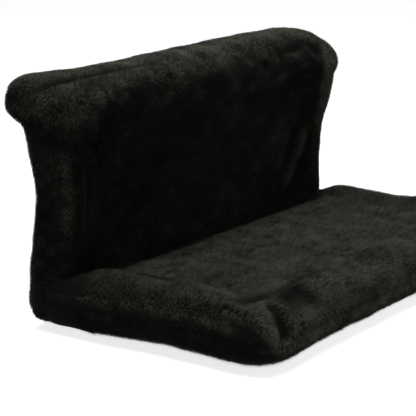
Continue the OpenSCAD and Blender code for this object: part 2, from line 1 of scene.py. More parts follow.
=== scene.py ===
import bpy
import math
import numpy as np
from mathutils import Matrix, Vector


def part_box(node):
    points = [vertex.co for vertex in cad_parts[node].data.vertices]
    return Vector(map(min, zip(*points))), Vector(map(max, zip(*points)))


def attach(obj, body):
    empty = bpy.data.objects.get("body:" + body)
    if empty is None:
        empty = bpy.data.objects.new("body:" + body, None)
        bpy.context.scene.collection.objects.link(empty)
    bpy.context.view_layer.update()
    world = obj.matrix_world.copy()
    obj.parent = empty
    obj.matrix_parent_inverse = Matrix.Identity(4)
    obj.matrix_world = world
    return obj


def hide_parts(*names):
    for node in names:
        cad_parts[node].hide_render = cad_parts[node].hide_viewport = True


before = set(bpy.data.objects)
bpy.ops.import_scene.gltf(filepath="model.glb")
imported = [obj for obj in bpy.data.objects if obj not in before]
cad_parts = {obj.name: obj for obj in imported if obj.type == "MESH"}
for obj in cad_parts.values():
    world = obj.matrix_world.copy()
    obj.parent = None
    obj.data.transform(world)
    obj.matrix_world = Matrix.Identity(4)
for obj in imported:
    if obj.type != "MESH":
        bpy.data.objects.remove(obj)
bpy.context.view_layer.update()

# Places taken from the frame, in metres
back_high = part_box("back_front_cover")[1]
rear_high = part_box("back_rear_cover")[1]
band_low, band_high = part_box("top_band_cover")
seat_low, seat_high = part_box("seat_top_cover")
under_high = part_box("seat_under_cover")[1]
seam_y = back_high.y
back_plane = rear_high.y
back_face = seat_high.y
roll_top = band_high.z
half_w = seat_high.x
roll_half_w = band_high.x
hem_z = band_low.z
seat_front = seat_low.y
seat_top = seat_high.z


def deselect():
    if bpy.context.object and bpy.context.object.mode != "OBJECT":
        bpy.ops.object.mode_set(mode="OBJECT")
    bpy.ops.object.select_all(action="DESELECT")


def make_active(piece):
    deselect()
    piece.select_set(True)
    bpy.context.view_layer.objects.active = piece


def set_place(piece):
    make_active(piece)
    bpy.ops.object.transform_apply(location=True, rotation=True, scale=True)


def finish_modifier(piece, name):
    make_active(piece)
    bpy.ops.object.modifier_apply(modifier=name)


def select_edges(piece, wanted):
    """Selects the edges for which wanted(middle, direction) is true."""
    make_active(piece)
    mesh = piece.data
    for item in list(mesh.vertices) + list(mesh.edges) + list(mesh.polygons):
        item.select = False
    for edge in mesh.edges:
        a, b = (mesh.vertices[i].co for i in edge.vertices)
        edge.select = bool(wanted((a + b) / 2, (b - a).normalized()))
    bpy.ops.object.mode_set(mode="EDIT")
    bpy.ops.mesh.select_mode(type="EDGE")


def bevel_selected(width, steps):
    bpy.ops.mesh.bevel(offset=width, segments=steps, profile=0.5, affect="EDGES")
    bpy.ops.object.mode_set(mode="OBJECT")


def block(name, low, high):
    """A plain block between two corners, as the start of a shape."""
    deselect()
    low, high = Vector(low), Vector(high)
    bpy.ops.mesh.primitive_cube_add(size=1, location=(low + high) / 2)
    piece = bpy.context.object
    piece.name = name
    piece.scale = high - low
    set_place(piece)
    return piece


def points_of(piece):
    mesh = piece.data
    places = np.empty(len(mesh.vertices) * 3)
    mesh.vertices.foreach_get("co", places)
    return places.reshape(-1, 3)


def normals_of(piece):
    mesh = piece.data
    normals = np.empty(len(mesh.vertices) * 3)
    mesh.vertices.foreach_get("normal", normals)
    return normals.reshape(-1, 3)


def put_points(piece, places):
    piece.data.vertices.foreach_set("co", places.ravel())
    piece.data.update()


def ease(t):
    u = np.clip(t, 0, 1)
    return u * u * (3 - 2 * u)


def fuse(piece, size):
    remesh = piece.modifiers.new("fuse", "REMESH")
    remesh.mode = "VOXEL"
    remesh.voxel_size = size
    finish_modifier(piece, "fuse")


def relax(piece, factor, times):
    smooth = piece.modifiers.new("relax", "SMOOTH")
    smooth.factor = factor
    smooth.iterations = times
    finish_modifier(piece, "relax")


def swell(piece, far):
    put_points(piece, points_of(piece) + normals_of(piece) * far)


def plump(piece, pressure, slack, cap, held):
    """Swells the fabric over its filling, outwards, with no point moving further than the cap."""
    start, outwards = points_of(piece), normals_of(piece)
    group = piece.vertex_groups.new(name="held")
    weights = held(start)
    for i in np.nonzero(weights > 0.02)[0]:
        group.add([int(i)], float(weights[i]), "REPLACE")
    cloth = piece.modifiers.new("plump", "CLOTH")
    cloth.settings.quality = 6
    cloth.settings.mass = 0.25
    cloth.settings.tension_stiffness = 12
    cloth.settings.compression_stiffness = 6
    cloth.settings.shear_stiffness = 4
    cloth.settings.bending_stiffness = 0.4
    cloth.settings.use_pressure = True
    cloth.settings.uniform_pressure_force = pressure
    cloth.settings.shrink_min = -slack
    cloth.settings.vertex_group_mass = "held"
    cloth.settings.pin_stiffness = 0.6
    cloth.settings.effector_weights.gravity = 0
    cloth.collision_settings.use_collision = False
    cloth.collision_settings.use_self_collision = False
    scene = bpy.context.scene
    for step in range(1, 21):
        scene.frame_set(step)
    finish_modifier(piece, "plump")
    scene.frame_set(1)
    end = points_of(piece)
    move = end - start
    out = np.sum(move * outwards, axis=1, keepdims=True)
    move += outwards * (np.clip(out, 0, None) - out)
    far = np.linalg.norm(move, axis=1, keepdims=True)
    put_points(piece, start + move * np.minimum(1, cap / np.maximum(far, 1e-9)))
    piece.vertex_groups.clear()


def subdivide(piece):
    divide = piece.modifiers.new("divide", "SUBSURF")
    divide.levels = divide.render_levels = 1
    finish_modifier(piece, "divide")


# Sizes of the cushions, in metres
pile_depth = 0.0045
rim_wide = 0.024
corner_round = 0.034
foot_round = 0.020
sheet_grain = 0.005
roll_foot = 0.197
roll_sag = 0.009
panel_sink = 0.009
swell_deep = 0.011
rim_rise = 0.004
draw_in = 0.0045
first_swell = 0.0018
plump_pressure = 4
plump_slack = 0.015
plump_cap = 0.003
ripple_high = 0.004
ripple_wide = 0.040
crease_deep = 0.0022
crease_wide = 0.0030
zip_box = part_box("zip_tape")
zip_z = (zip_box[0].z + zip_box[1].z) / 2
zip_reach = zip_box[1].x - 0.006
pull_reach = 0.172
slot_half = 0.0085
slot_deep = 0.0070
slot_end_deep = 0.0045
seam_z = under_high.z + 0.002
arm_x = sum(corner.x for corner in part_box("hook_right")) / 2
arm_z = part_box("hook_right")[1].z - 0.002


def square_corner(p, a, b, centre_a, centre_b, power, weight, facing=1):
    """Pushes the points of a quarter round out towards a squarer corner, on the low side if facing is -1."""
    out_a = np.abs(p[:, a]) - centre_a if a == 0 else p[:, a] - centre_a
    out_b = facing * (p[:, b] - centre_b)
    reach = np.hypot(out_a, out_b) + 1e-9
    inside = (out_a > 0) & (out_b > 0)
    stretch = ((out_a.clip(0) / reach) ** power + (out_b.clip(0) / reach) ** power + 1e-12) ** (-1 / power)
    grow = 1 + (stretch - 1) * weight * inside
    p[:, a] += np.sign(p[:, a]) * out_a.clip(0) * (grow - 1) if a == 0 else out_a.clip(0) * (grow - 1)
    p[:, b] += facing * out_b.clip(0) * (grow - 1)


def make_back():
    """The back before it is filled: a rounded slab, drawn in at its sides, with its roll pulled over."""
    slab = block("back_cushion", (-half_w + pile_depth, back_face + pile_depth, pile_depth),
                 (half_w - pile_depth, back_plane - pile_depth, roll_top - pile_depth))
    select_edges(slab, lambda m, d: abs(d.y) > 0.9 and m.z > 0.1)
    bevel_selected(corner_round - pile_depth, 8)
    select_edges(slab, lambda m, d: abs(d.y) > 0.9 and m.z < 0.02)
    bevel_selected(foot_round - pile_depth, 6)
    select_edges(slab, lambda m, d: abs(d.y) < 0.5)
    bevel_selected(rim_wide - pile_depth - 0.001, 7)
    fuse(slab, sheet_grain)
    p = points_of(slab)
    side = np.abs(p[:, 0]) / half_w
    upper = ease((p[:, 2] - 0.085) / 0.115)
    waist = np.exp(-((p[:, 2] - 0.118) / 0.052) ** 2)
    near_side = ease((side - 0.55) / 0.45)
    foot = roll_foot - roll_sag * ease((side - 0.55) / 0.35)
    over = ease((p[:, 2] - foot) / 0.010)
    ends = np.maximum(ease((0.11 - p[:, 2]) / 0.06), ease((p[:, 2] - 0.175) / 0.03))
    square_corner(p, 0, 1, half_w - rim_wide, back_plane - rim_wide, 5, ends)
    behind = np.clip((p[:, 1] - seam_y) / (back_plane - seam_y), 0, 1)
    ahead = np.clip((seam_y - p[:, 1]) / (seam_y - back_face), 0, 1)
    p[:, 1] += behind * (over * (band_high.y - back_plane) - draw_in * waist * near_side)
    p[:, 1] -= ahead * upper * (swell_deep + (0.005 + 0.005 * np.sign(p[:, 0])) * near_side)
    flare = roll_half_w - half_w + 0.003
    p[:, 0] *= 1 + (ease((p[:, 2] - 0.115) / 0.090) * flare - waist * 0.0025) / half_w
    rear = ease((p[:, 1] - seam_y + 0.010) / 0.030) * (0.6 - 0.5 * np.sign(p[:, 0]))
    square_corner(p, 0, 2, half_w - corner_round, roll_top - corner_round, 6, rear)
    square_corner(p, 0, 2, half_w - foot_round, foot_round, 5, 0.9, -1)
    sag = 0.0015 * (1 - side ** 4) + 0.007 * ease((p[:, 0] - 0.165) / 0.07)
    p[:, 2] -= sag * ease((p[:, 2] - 0.19) / 0.03)
    put_points(slab, p)
    fuse(slab, sheet_grain)
    relax(slab, 0.5, 4)
    return slab


def make_seat():
    """The seat before it is filled: a rounded slab with softly drawn-in sides."""
    slab = block("seat_cushion", (-half_w + pile_depth, seat_front + pile_depth, pile_depth),
                 (half_w - pile_depth, seam_y + 0.006, seat_top - pile_depth))
    select_edges(slab, lambda m, d: abs(d.z) > 0.9 and m.y < 0)
    bevel_selected(corner_round - pile_depth, 8)
    select_edges(slab, lambda m, d: abs(d.z) > 0.9 and m.y > 0)
    bevel_selected(0.012, 5)
    select_edges(slab, lambda m, d: abs(d.z) < 0.5)
    bevel_selected(rim_wide - pile_depth - 0.001, 7)
    fuse(slab, sheet_grain)
    p = points_of(slab)
    along = np.clip((p[:, 1] - seat_front) / (back_face - seat_front), 0, 1)
    p[:, 0] *= 1 + (0.0015 - draw_in * np.sin(math.pi * along)) / half_w
    square_corner(p, 0, 2, half_w - rim_wide, rim_wide, 5, 0.9 * ease((p[:, 1] + 0.03) / 0.06), -1)
    across = np.clip(np.abs(p[:, 0]) / half_w, 0, 1)
    ahead = np.clip((-0.09 - p[:, 1]) / (-0.09 - seat_front), 0, 1)
    p[:, 1] += ahead * draw_in * np.cos(across * math.pi / 2)
    put_points(slab, p)
    relax(slab, 0.5, 3)
    return slab


def sink_back(piece):
    """Sinks the middle of the panel between its rims."""
    p, n = points_of(piece), normals_of(piece)
    side = half_w - np.abs(p[:, 0])
    top = roll_top - p[:, 2]
    inset = np.minimum(np.minimum(side, top), p[:, 2] + 0.02)
    front = ease((-n[:, 1] - 0.1) / 0.6)
    p[:, 1] += panel_sink * ease((inset - rim_wide) / 0.040) * front
    p[:, 1] -= 0.0030 * np.exp(-((inset - 0.028) / 0.018) ** 2) * front * ease((0.20 - p[:, 2]) / 0.03)
    # The slot that shows the zip, the hem of the top band above it and the seam round the sides
    behind = ease((n[:, 1] - 0.3) / 0.4)
    level = ease((slot_half - np.abs(p[:, 2] - zip_z)) / 0.004)
    slot = level * ease((zip_reach + 0.003 - np.abs(p[:, 0])) / 0.005)
    ends = level * ease((pull_reach + 0.003 - np.abs(p[:, 0])) / 0.005)
    p[:, 1] -= np.maximum(slot_deep * slot, slot_end_deep * ends) * behind
    p[:, 1] -= 0.0015 * np.exp(-((p[:, 2] - hem_z) / 0.003) ** 2) * behind
    p -= n * (0.0012 * np.exp(-((p[:, 1] - seam_y) / 0.003) ** 2) * (p[:, 2] < 0.19))[:, None]
    put_points(piece, p)


def sink_seat(piece):
    """Sinks the middle of the seat between its rims."""
    p, n = points_of(piece), normals_of(piece)
    side = half_w - np.abs(p[:, 0])
    front = p[:, 1] - seat_front
    inset = np.minimum(side, front)
    up = ease((n[:, 2] - 0.1) / 0.6)
    p[:, 2] -= 0.0055 * ease((inset - rim_wide) / 0.034) * up
    on_rim = ease((np.abs(p[:, 0]) - 0.185) / 0.02)
    p[:, 2] -= (0.008 - 0.006 * on_rim) * ease((p[:, 1] - 0.020 - 0.016 * on_rim) / 0.024) * up
    p -= n * (0.0018 * np.exp(-((p[:, 2] - seam_z) / 0.003) ** 2))[:, None]
    rise = rim_rise * (1 + 0.5 * ease(p[:, 0] / half_w))
    p[:, 2] += rise * np.exp(-((inset - rim_wide) / 0.020) ** 2) * up * ease((0.045 - p[:, 1]) / 0.03)
    put_points(piece, p)


def rest_on_filling(piece, names, gap):
    """Keeps the fabric outside the foam and wadding that it lies on, and never moves it inwards."""
    for name in names:
        start, outwards = points_of(piece), normals_of(piece)
        wrap = piece.modifiers.new("rest", "SHRINKWRAP")
        wrap.target = bpy.data.objects[name]
        wrap.wrap_method = "NEAREST_SURFACEPOINT"
        wrap.wrap_mode = "OUTSIDE"
        wrap.offset = gap
        finish_modifier(piece, "rest")
        move = points_of(piece) - start
        far = np.linalg.norm(move, axis=1, keepdims=True)
        put_points(piece, start + move * (np.sum(move * outwards, axis=1, keepdims=True) > -0.3 * far))


def nearness(p, route):
    """How far each point is from a route, and how far along it, from 0 to 1, the nearest place lies."""
    route = np.array(route, float)
    steps = np.linalg.norm(np.diff(route, axis=0), axis=1)
    started = np.concatenate([[0], np.cumsum(steps)])
    best = np.full(len(p), 1e9)
    along = np.zeros(len(p))
    for i, step in enumerate(steps):
        way = (route[i + 1] - route[i]) / step
        t = np.clip((p - route[i]) @ way, 0, step)
        gap = np.linalg.norm(p - route[i] - t[:, None] * way, axis=1)
        closer = gap < best
        best[closer] = gap[closer]
        along[closer] = (started[i] + t[closer]) / started[-1]
    return best, along


def fold_strength(p, route, wide, fade_in, fade_out):
    """How strongly a fold along the route, laid onto the nearest points of the skin, moves each point."""
    laid = [p[np.argmin(np.linalg.norm(p - np.array(place), axis=1))] for place in route]
    gap, along = nearness(p, laid)
    ends = 1 if fade_in == 0 else ease(along / fade_in)
    return np.exp(-(gap / wide) ** 2) * ends * ease((1 - along) / fade_out)


def crease_strength(p, wide):
    gap, along = nearness(p, top_crease)
    return np.exp(-(gap / wide) ** 2) * ease(along / 0.05) * ease((1 - along) / 0.4)


def press_crease(piece, depth, wide):
    """Presses the seam along the top of the roll into the fabric."""
    p, n = points_of(piece), normals_of(piece)
    put_points(piece, p - n * (depth * crease_strength(p, wide))[:, None])


def fold(piece, folds):
    """Raises a soft ridge along each route, or presses a crease where the height is negative."""
    p, n = points_of(piece), normals_of(piece)
    for route, height, wide, fade_in, fade_out in folds:
        p += n * (height * fold_strength(p, route, wide, fade_in, fade_out))[:, None]
    put_points(piece, p)


def dimple(piece, place, depth, wide):
    p, n = points_of(piece), normals_of(piece)
    gap = np.linalg.norm(p - np.array(place), axis=1)
    p -= n * (depth * np.exp(-(gap / wide) ** 2))[:, None]
    put_points(piece, p)


def ripple(piece, height, scale):
    """Small uneven swells of the filling under the fabric."""
    make_active(piece)
    clouds = bpy.data.textures.new("swells", "CLOUDS")
    clouds.noise_scale = scale
    clouds.noise_depth = 1
    uneven = piece.modifiers.new("swells", "DISPLACE")
    uneven.texture = clouds
    uneven.texture_coords = "LOCAL"
    uneven.strength = height
    uneven.mid_level = 0.35
    finish_modifier(piece, "swells")


# The seam along the top of the roll, which closes up towards the far end
top_crease = [(-0.236, 0.074, 0.219), (-0.229, 0.064, 0.222), (-0.212, 0.057, 0.225), (-0.190, 0.055, 0.2265),
              (-0.145, 0.057, 0.2265), (-0.090, 0.057, 0.2265), (-0.040, 0.058, 0.226)]
# The folds of the back: route, height, width, and how much of each end fades out
back_folds = [
    # Upright folds by the near rim, and the pull towards the far one
    ([(-0.224, 0.050, 0.170), (-0.211, 0.050, 0.120), (-0.222, 0.050, 0.085)], 0.0030, 0.005, 0.2, 0.2),
    ([(-0.200, 0.052, 0.165), (-0.194, 0.054, 0.120), (-0.200, 0.052, 0.075)], -0.0020, 0.006, 0.2, 0.2),
    ([(0.186, 0.046, 0.135), (0.172, 0.052, 0.095), (0.146, 0.054, 0.055)], 0.0045, 0.0045, 0.3, 0.3),
    ([(0.172, 0.046, 0.135), (0.158, 0.052, 0.095), (0.132, 0.054, 0.055)], -0.0020, 0.006, 0.2, 0.2),
    # The inner corner below the far end of the roll
    ([(0.105, 0.038, 0.215), (0.150, 0.040, 0.214), (0.176, 0.042, 0.217), (0.183, 0.040, 0.205),
      (0.187, 0.037, 0.180)], -0.0035, 0.006, 0.4, 0.5),
]
seat_folds = [
    # The seam that gathers round the near front corner
    ([(-0.214, -0.112, 0.054), (-0.224, -0.132, 0.052), (-0.228, -0.149, 0.050), (-0.228, -0.164, 0.046),
      (-0.220, -0.172, 0.030), (-0.218, -0.172, 0.012)], 0.0075, 0.0055, 0.25, 0.2),
    ([(-0.200, -0.146, 0.054), (-0.203, -0.170, 0.044), (-0.200, -0.174, 0.020)], -0.0045, 0.008, 0.2, 0.2),
    # The valley behind the front rim
    ([(-0.205, -0.118, 0.050), (-0.165, -0.132, 0.050), (-0.120, -0.128, 0.050), (-0.040, -0.126, 0.050)],
     -0.0030, 0.009, 0.15, 0.6),
]
# Where the fabric is gathered behind the near front corner
seat_dimples = [(-0.202, -0.130, 0.055), (-0.193, -0.133, 0.055), (-0.172, -0.151, 0.055),
                (-0.154, -0.147, 0.055), (-0.175, -0.166, 0.053), (-0.150, -0.162, 0.053)]
back_filling = ["back_foam", "back_wadding_left", "back_wadding_right", "top_wadding_left",
                "top_wadding_middle", "top_wadding_right"]
seat_filling = ["seat_foam", "seat_rim_wadding"]


def held_by_side_seam(p):
    return ease((0.012 - np.abs(p[:, 1] - seam_y)) / 0.006) * (p[:, 2] < 0.19)


def held_by_back(p):
    return ease((p[:, 1] - 0.03) / 0.01)


back = make_back()
seat = make_seat()
for piece in (back, seat):
    swell(piece, first_swell)
plump(back, plump_pressure, plump_slack, plump_cap, held_by_side_seam)
plump(seat, plump_pressure, plump_slack, plump_cap, held_by_back)
for piece in (back, seat):
    subdivide(piece)
sink_back(back)
sink_seat(seat)
for piece in (back, seat):
    ripple(piece, ripple_high, ripple_wide)
press_crease(back, crease_deep, crease_wide)
fold(back, back_folds)
fold(seat, seat_folds)
for place in seat_dimples:
    dimple(seat, place, 0.005, 0.010)
for piece, filling in ((back, back_filling), (seat, seat_filling)):
    rest_on_filling(piece, filling, 0.0014)
    relax(piece, 0.4, 2)
    rest_on_filling(piece, filling, 0.0006)


class Maker:
    """Short ways to add and link the nodes of one tree."""

    def __init__(self, tree):
        self.tree = tree

    def add(self, kind, **settings):
        node = self.tree.nodes.new(kind)
        for name, value in settings.items():
            setattr(node, name, value)
        return node

    def link(self, source, target):
        self.tree.links.new(source, target)

    def feed(self, socket, value):
        if isinstance(value, bpy.types.NodeSocket):
            self.link(value, socket)
        else:
            socket.default_value = value

    def sums(self, operation, *values, clamp=False):
        node = self.add("ShaderNodeMath", operation=operation, use_clamp=clamp)
        for socket, value in zip(node.inputs, values):
            self.feed(socket, value)
        return node.outputs[0]

    def vectors(self, operation, *values, scale=None):
        node = self.add("ShaderNodeVectorMath", operation=operation)
        for socket, value in zip(node.inputs, values):
            self.feed(socket, value)
        if scale is not None:
            self.feed(node.inputs["Scale"], scale)
        return node.outputs["Value" if operation in ("DOT_PRODUCT", "LENGTH") else "Vector"]

    def spread(self, value, low, high, to_low=0.0, to_high=1.0):
        node = self.add("ShaderNodeMapRange", interpolation_type="SMOOTHSTEP")
        given = {"Value": value, "From Min": low, "From Max": high, "To Min": to_low, "To Max": to_high}
        for name, setting in given.items():
            self.feed(node.inputs[name], setting)
        return node.outputs["Result"]

    def blend(self, factor, first, second):
        node = self.add("ShaderNodeMix", data_type="RGBA")
        self.feed(node.inputs[0], factor)
        self.feed(node.inputs[6], first)
        self.feed(node.inputs[7], second)
        return node.outputs[2]

    def noise(self, place, scale, detail=3.0, rough=0.55, stretch=0.0):
        node = self.add("ShaderNodeTexNoise")
        self.feed(node.inputs["Vector"], place)
        self.feed(node.inputs["Scale"], scale)
        self.feed(node.inputs["Detail"], detail)
        self.feed(node.inputs["Roughness"], rough)
        self.feed(node.inputs["Distortion"], stretch)
        return node


# One fibre of the pile: a slim blade that ends in a point
fibre_long = 0.0038
fibre_wide = 0.00085


def make_fibre():
    deselect()
    bpy.ops.mesh.primitive_circle_add(vertices=3, radius=1, fill_type="NGON")
    fibre = bpy.context.object
    fibre.name = "one_fibre"
    p = points_of(fibre)
    for i, (across, up) in enumerate(((-0.5, 0), (0.5, 0), (0, 1))):
        p[i] = (across * fibre_wide, 0, up * fibre_long)
    put_points(fibre, p)
    return fibre


def pile_nodes(fibre, density, seed, lean, unrest):
    tree = bpy.data.node_groups.new("pile", "GeometryNodeTree")
    tree.interface.new_socket("Geometry", in_out="INPUT", socket_type="NodeSocketGeometry")
    tree.interface.new_socket("Geometry", in_out="OUTPUT", socket_type="NodeSocketGeometry")
    make = Maker(tree)
    skin = make.add("NodeGroupInput").outputs[0]
    scatter = make.add("GeometryNodeDistributePointsOnFaces", distribute_method="RANDOM")
    make.link(skin, scatter.inputs["Mesh"])
    make.feed(scatter.inputs["Density"], density)
    make.feed(scatter.inputs["Seed"], seed)
    place = make.add("GeometryNodeInputPosition").outputs[0]
    patches = make.noise(place, 22.0, 1.0, 0.5)
    tufts = make.noise(place, 110.0, 1.0, 0.5)
    wide_swirl = make.vectors("SUBTRACT", patches.outputs["Color"], (0.5, 0.5, 0.5))
    fine_swirl = make.vectors("SUBTRACT", tufts.outputs["Color"], (0.5, 0.5, 0.5))
    swirl = make.vectors("ADD", make.vectors("SCALE", wide_swirl, scale=1.6 * unrest),
                         make.vectors("SCALE", fine_swirl, scale=1.5 * unrest))
    comb = make.add("GeometryNodeInputNamedAttribute", data_type="FLOAT_VECTOR")
    comb.inputs["Name"].default_value = "comb"
    ruffle = make.add("FunctionNodeRandomValue", data_type="FLOAT_VECTOR")
    make.feed(ruffle.inputs[0], (-0.45, -0.45, -0.45))
    make.feed(ruffle.inputs[1], (0.45, 0.45, 0.45))
    make.feed(ruffle.inputs["Seed"], seed + 3)
    along = make.vectors("ADD", comb.outputs[0], swirl)
    along = make.vectors("ADD", make.vectors("NORMALIZE", along), ruffle.outputs[0])
    normal = scatter.outputs["Normal"]
    upright = make.vectors("SCALE", normal, scale=make.vectors("DOT_PRODUCT", along, normal))
    flat_part = make.vectors("NORMALIZE", make.vectors("SUBTRACT", along, upright))
    direction = make.vectors("ADD", make.vectors("SCALE", flat_part, scale=lean), normal)
    stand = make.add("FunctionNodeAlignRotationToVector", axis="Z")
    make.link(direction, stand.inputs["Vector"])
    face = make.add("FunctionNodeAlignRotationToVector", axis="Y", pivot_axis="Z")
    make.link(stand.outputs[0], face.inputs["Rotation"])
    make.link(normal, face.inputs["Vector"])
    size = make.add("FunctionNodeRandomValue", data_type="FLOAT")
    make.feed(size.inputs[2], 0.6)
    make.feed(size.inputs[3], 1.15)
    make.feed(size.inputs["Seed"], seed + 5)
    press = make.add("GeometryNodeInputNamedAttribute", data_type="FLOAT")
    press.inputs["Name"].default_value = "length"
    put = make.add("GeometryNodeInstanceOnPoints")
    one = make.add("GeometryNodeObjectInfo")
    one.inputs["Object"].default_value = fibre
    make.link(scatter.outputs["Points"], put.inputs["Points"])
    make.link(one.outputs["Geometry"], put.inputs["Instance"])
    make.link(face.outputs[0], put.inputs["Rotation"])
    make.link(make.sums("MULTIPLY", size.outputs[1], press.outputs[0]), put.inputs["Scale"])
    tone = make.add("FunctionNodeRandomValue", data_type="FLOAT")
    make.feed(tone.inputs["Seed"], seed + 7)
    kept = put.outputs[0]
    # Each fibre takes the light and shade painted on the skin as its shade
    painted_light = make.add("GeometryNodeInputNamedAttribute", data_type="FLOAT")
    painted_light.inputs["Name"].default_value = "painted_light"
    kept_values = (("tone", "FLOAT", tone.outputs[1]), ("skin_normal", "FLOAT_VECTOR", normal),
                   ("shade", "FLOAT", painted_light.outputs[0]))
    for name, kind, value in kept_values:
        keep = make.add("GeometryNodeStoreNamedAttribute", data_type=kind, domain="INSTANCE")
        keep.inputs["Name"].default_value = name
        make.link(kept, keep.inputs["Geometry"])
        make.link(value, keep.inputs["Value"])
        kept = keep.outputs[0]
    real = make.add("GeometryNodeRealizeInstances")
    make.link(kept, real.inputs["Geometry"])
    make.link(real.outputs[0], make.add("NodeGroupOutput").inputs[0])
    return tree


def grow_pile(name, skin, fibre, keep, density, seed, unrest, lean=1.1):
    """Covers the faces of the skin that keep(middles, normals) picks with fibres."""
    make_active(skin)
    bpy.ops.object.duplicate()
    pile = bpy.context.object
    pile.name = name
    mesh = pile.data
    middles = np.empty(len(mesh.polygons) * 3)
    mesh.polygons.foreach_get("center", middles)
    facing = np.empty(len(mesh.polygons) * 3)
    mesh.polygons.foreach_get("normal", facing)
    drop = ~keep(middles.reshape(-1, 3), facing.reshape(-1, 3))
    bpy.ops.object.mode_set(mode="EDIT")
    bpy.ops.mesh.select_mode(type="FACE")
    bpy.ops.mesh.select_all(action="DESELECT")
    bpy.ops.object.mode_set(mode="OBJECT")
    mesh.polygons.foreach_set("select", drop)
    bpy.ops.object.mode_set(mode="EDIT")
    bpy.ops.mesh.delete(type="FACE")
    bpy.ops.object.mode_set(mode="OBJECT")
    grow = pile.modifiers.new("grow", "NODES")
    grow.node_group = pile_nodes(fibre, density, seed, lean, unrest)
    finish_modifier(pile, "grow")
    pile.data.materials.clear()
    pile.data.materials.append(pile_finish)
    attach(pile, "bed")
    return pile


def comb_skin(piece, rule):
    """Stores the way that the pile is brushed at each point of the skin, how long the pile is, and the light
    and shade painted on it.
    """
    p, n = points_of(piece), normals_of(piece)
    comb, shade, length = rule(p, n)
    press = piece.data.attributes.new("length", "FLOAT", "POINT")
    press.data.foreach_set("value", length)
    way = piece.data.attributes.new("comb", "FLOAT_VECTOR", "POINT")
    way.data.foreach_set("vector", comb.ravel())
    painted_light = piece.data.attributes.new("painted_light", "FLOAT", "POINT")
    painted_light.data.foreach_set("value", shade)


def plush_material(name, deep, light, root):
    material = bpy.data.materials.new(name)
    material.use_nodes = True
    make = Maker(material.node_tree)
    shader = material.node_tree.nodes["Principled BSDF"]
    place = make.add("ShaderNodeTexCoord").outputs["Object"]
    patches = make.spread(make.noise(place, 38.0, 4.0, 0.62).outputs[0], 0.36, 0.66)
    tone = make.add("ShaderNodeAttribute", attribute_name="tone").outputs["Fac"]
    shade = make.add("ShaderNodeAttribute", attribute_name="shade").outputs["Fac"]
    grain = make.spread(make.noise(place, 330.0, 2.0, 0.6).outputs[0], 0.38, 0.62)
    bright = make.sums("MULTIPLY", make.sums("POWER", tone, 5.0), 1.3)
    level = make.sums("ADD", make.sums("MULTIPLY", patches, 0.45), bright)
    level = make.sums("ADD", level, make.sums("MULTIPLY", grain, 0.50))
    # The pile's colour is scaled by the light and shade painted on the skin; the backing's is not
    if root:
        level = make.sums("MULTIPLY", patches, 0.4)
    else:
        level = make.sums("MULTIPLY", level, shade)
        shader.inputs["Sheen Weight"].default_value = 0.008
    make.link(make.blend(level, deep, light), shader.inputs["Base Color"])
    shader.inputs["Roughness"].default_value = 0.8
    shader.inputs["Specular IOR Level"].default_value = 0.04
    shader.inputs["Sheen Roughness"].default_value = 0.4
    shader.inputs["Sheen Tint"].default_value = (0.80, 0.79, 0.70, 1)
    if not root:
        skin = make.add("ShaderNodeAttribute", attribute_name="skin_normal").outputs["Vector"]
        own = make.add("ShaderNodeNewGeometry").outputs["Normal"]
        mixed = make.vectors("ADD", make.vectors("SCALE", skin, scale=0.6), own)
        make.link(make.vectors("NORMALIZE", mixed), shader.inputs["Normal"])
    return material


skin_finish = plush_material("plush_backing", (0.0015, 0.0015, 0.0014, 1), (0.005, 0.005, 0.0045, 1), True)
pile_finish = plush_material("plush_pile", (0.0016, 0.0016, 0.0015, 1), (0.060, 0.061, 0.048, 1), False)


def grain_group():
    """Uneven patches and a fine grain over a surface, as masks that each finish uses in its own way."""
    tree = bpy.data.node_groups.new("patches_and_grain", "ShaderNodeTree")
    for name in ("Patch Size", "Grain Size"):
        tree.interface.new_socket(name, in_out="INPUT", socket_type="NodeSocketFloat")
    for name in ("Patches", "Grain"):
        tree.interface.new_socket(name, in_out="OUTPUT", socket_type="NodeSocketFloat")
    make = Maker(tree)
    given = make.add("NodeGroupInput")
    place = make.add("ShaderNodeTexCoord").outputs["Object"]
    result = make.add("NodeGroupOutput")
    patches = make.noise(place, given.outputs[0], 4.0, 0.6).outputs[0]
    grain = make.noise(place, given.outputs[1], 2.0, 0.6).outputs[0]
    make.link(make.spread(patches, 0.35, 0.65), result.inputs[0])
    make.link(make.spread(grain, 0.3, 0.7), result.inputs[1])
    return tree


patches_and_grain = grain_group()


def new_finish(name, patch_size, grain_size):
    material = bpy.data.materials.new(name)
    material.use_nodes = True
    make = Maker(material.node_tree)
    group = make.add("ShaderNodeGroup")
    group.node_tree = patches_and_grain
    group.inputs[0].default_value = patch_size
    group.inputs[1].default_value = grain_size
    return material, make, material.node_tree.nodes["Principled BSDF"], group.outputs[0], group.outputs[1]


def raise_surface(make, shader, height, distance, strength=1.0):
    bump = make.add("ShaderNodeBump")
    bump.inputs["Strength"].default_value = strength
    bump.inputs["Distance"].default_value = distance
    make.link(height, bump.inputs["Height"])
    make.link(bump.outputs[0], shader.inputs["Normal"])


def frame_paint_finish():
    """Black powder paint, with its orange peel and a few rubbed patches."""
    material, make, shader, patches, grain = new_finish("powder_paint", 45.0, 900.0)
    colour = make.blend(patches, (0.012, 0.012, 0.013, 1), (0.028, 0.028, 0.030, 1))
    make.link(colour, shader.inputs["Base Color"])
    make.link(make.spread(patches, 0.0, 1.0, 0.38, 0.56), shader.inputs["Roughness"])
    raise_surface(make, shader, grain, 0.00008)
    return material


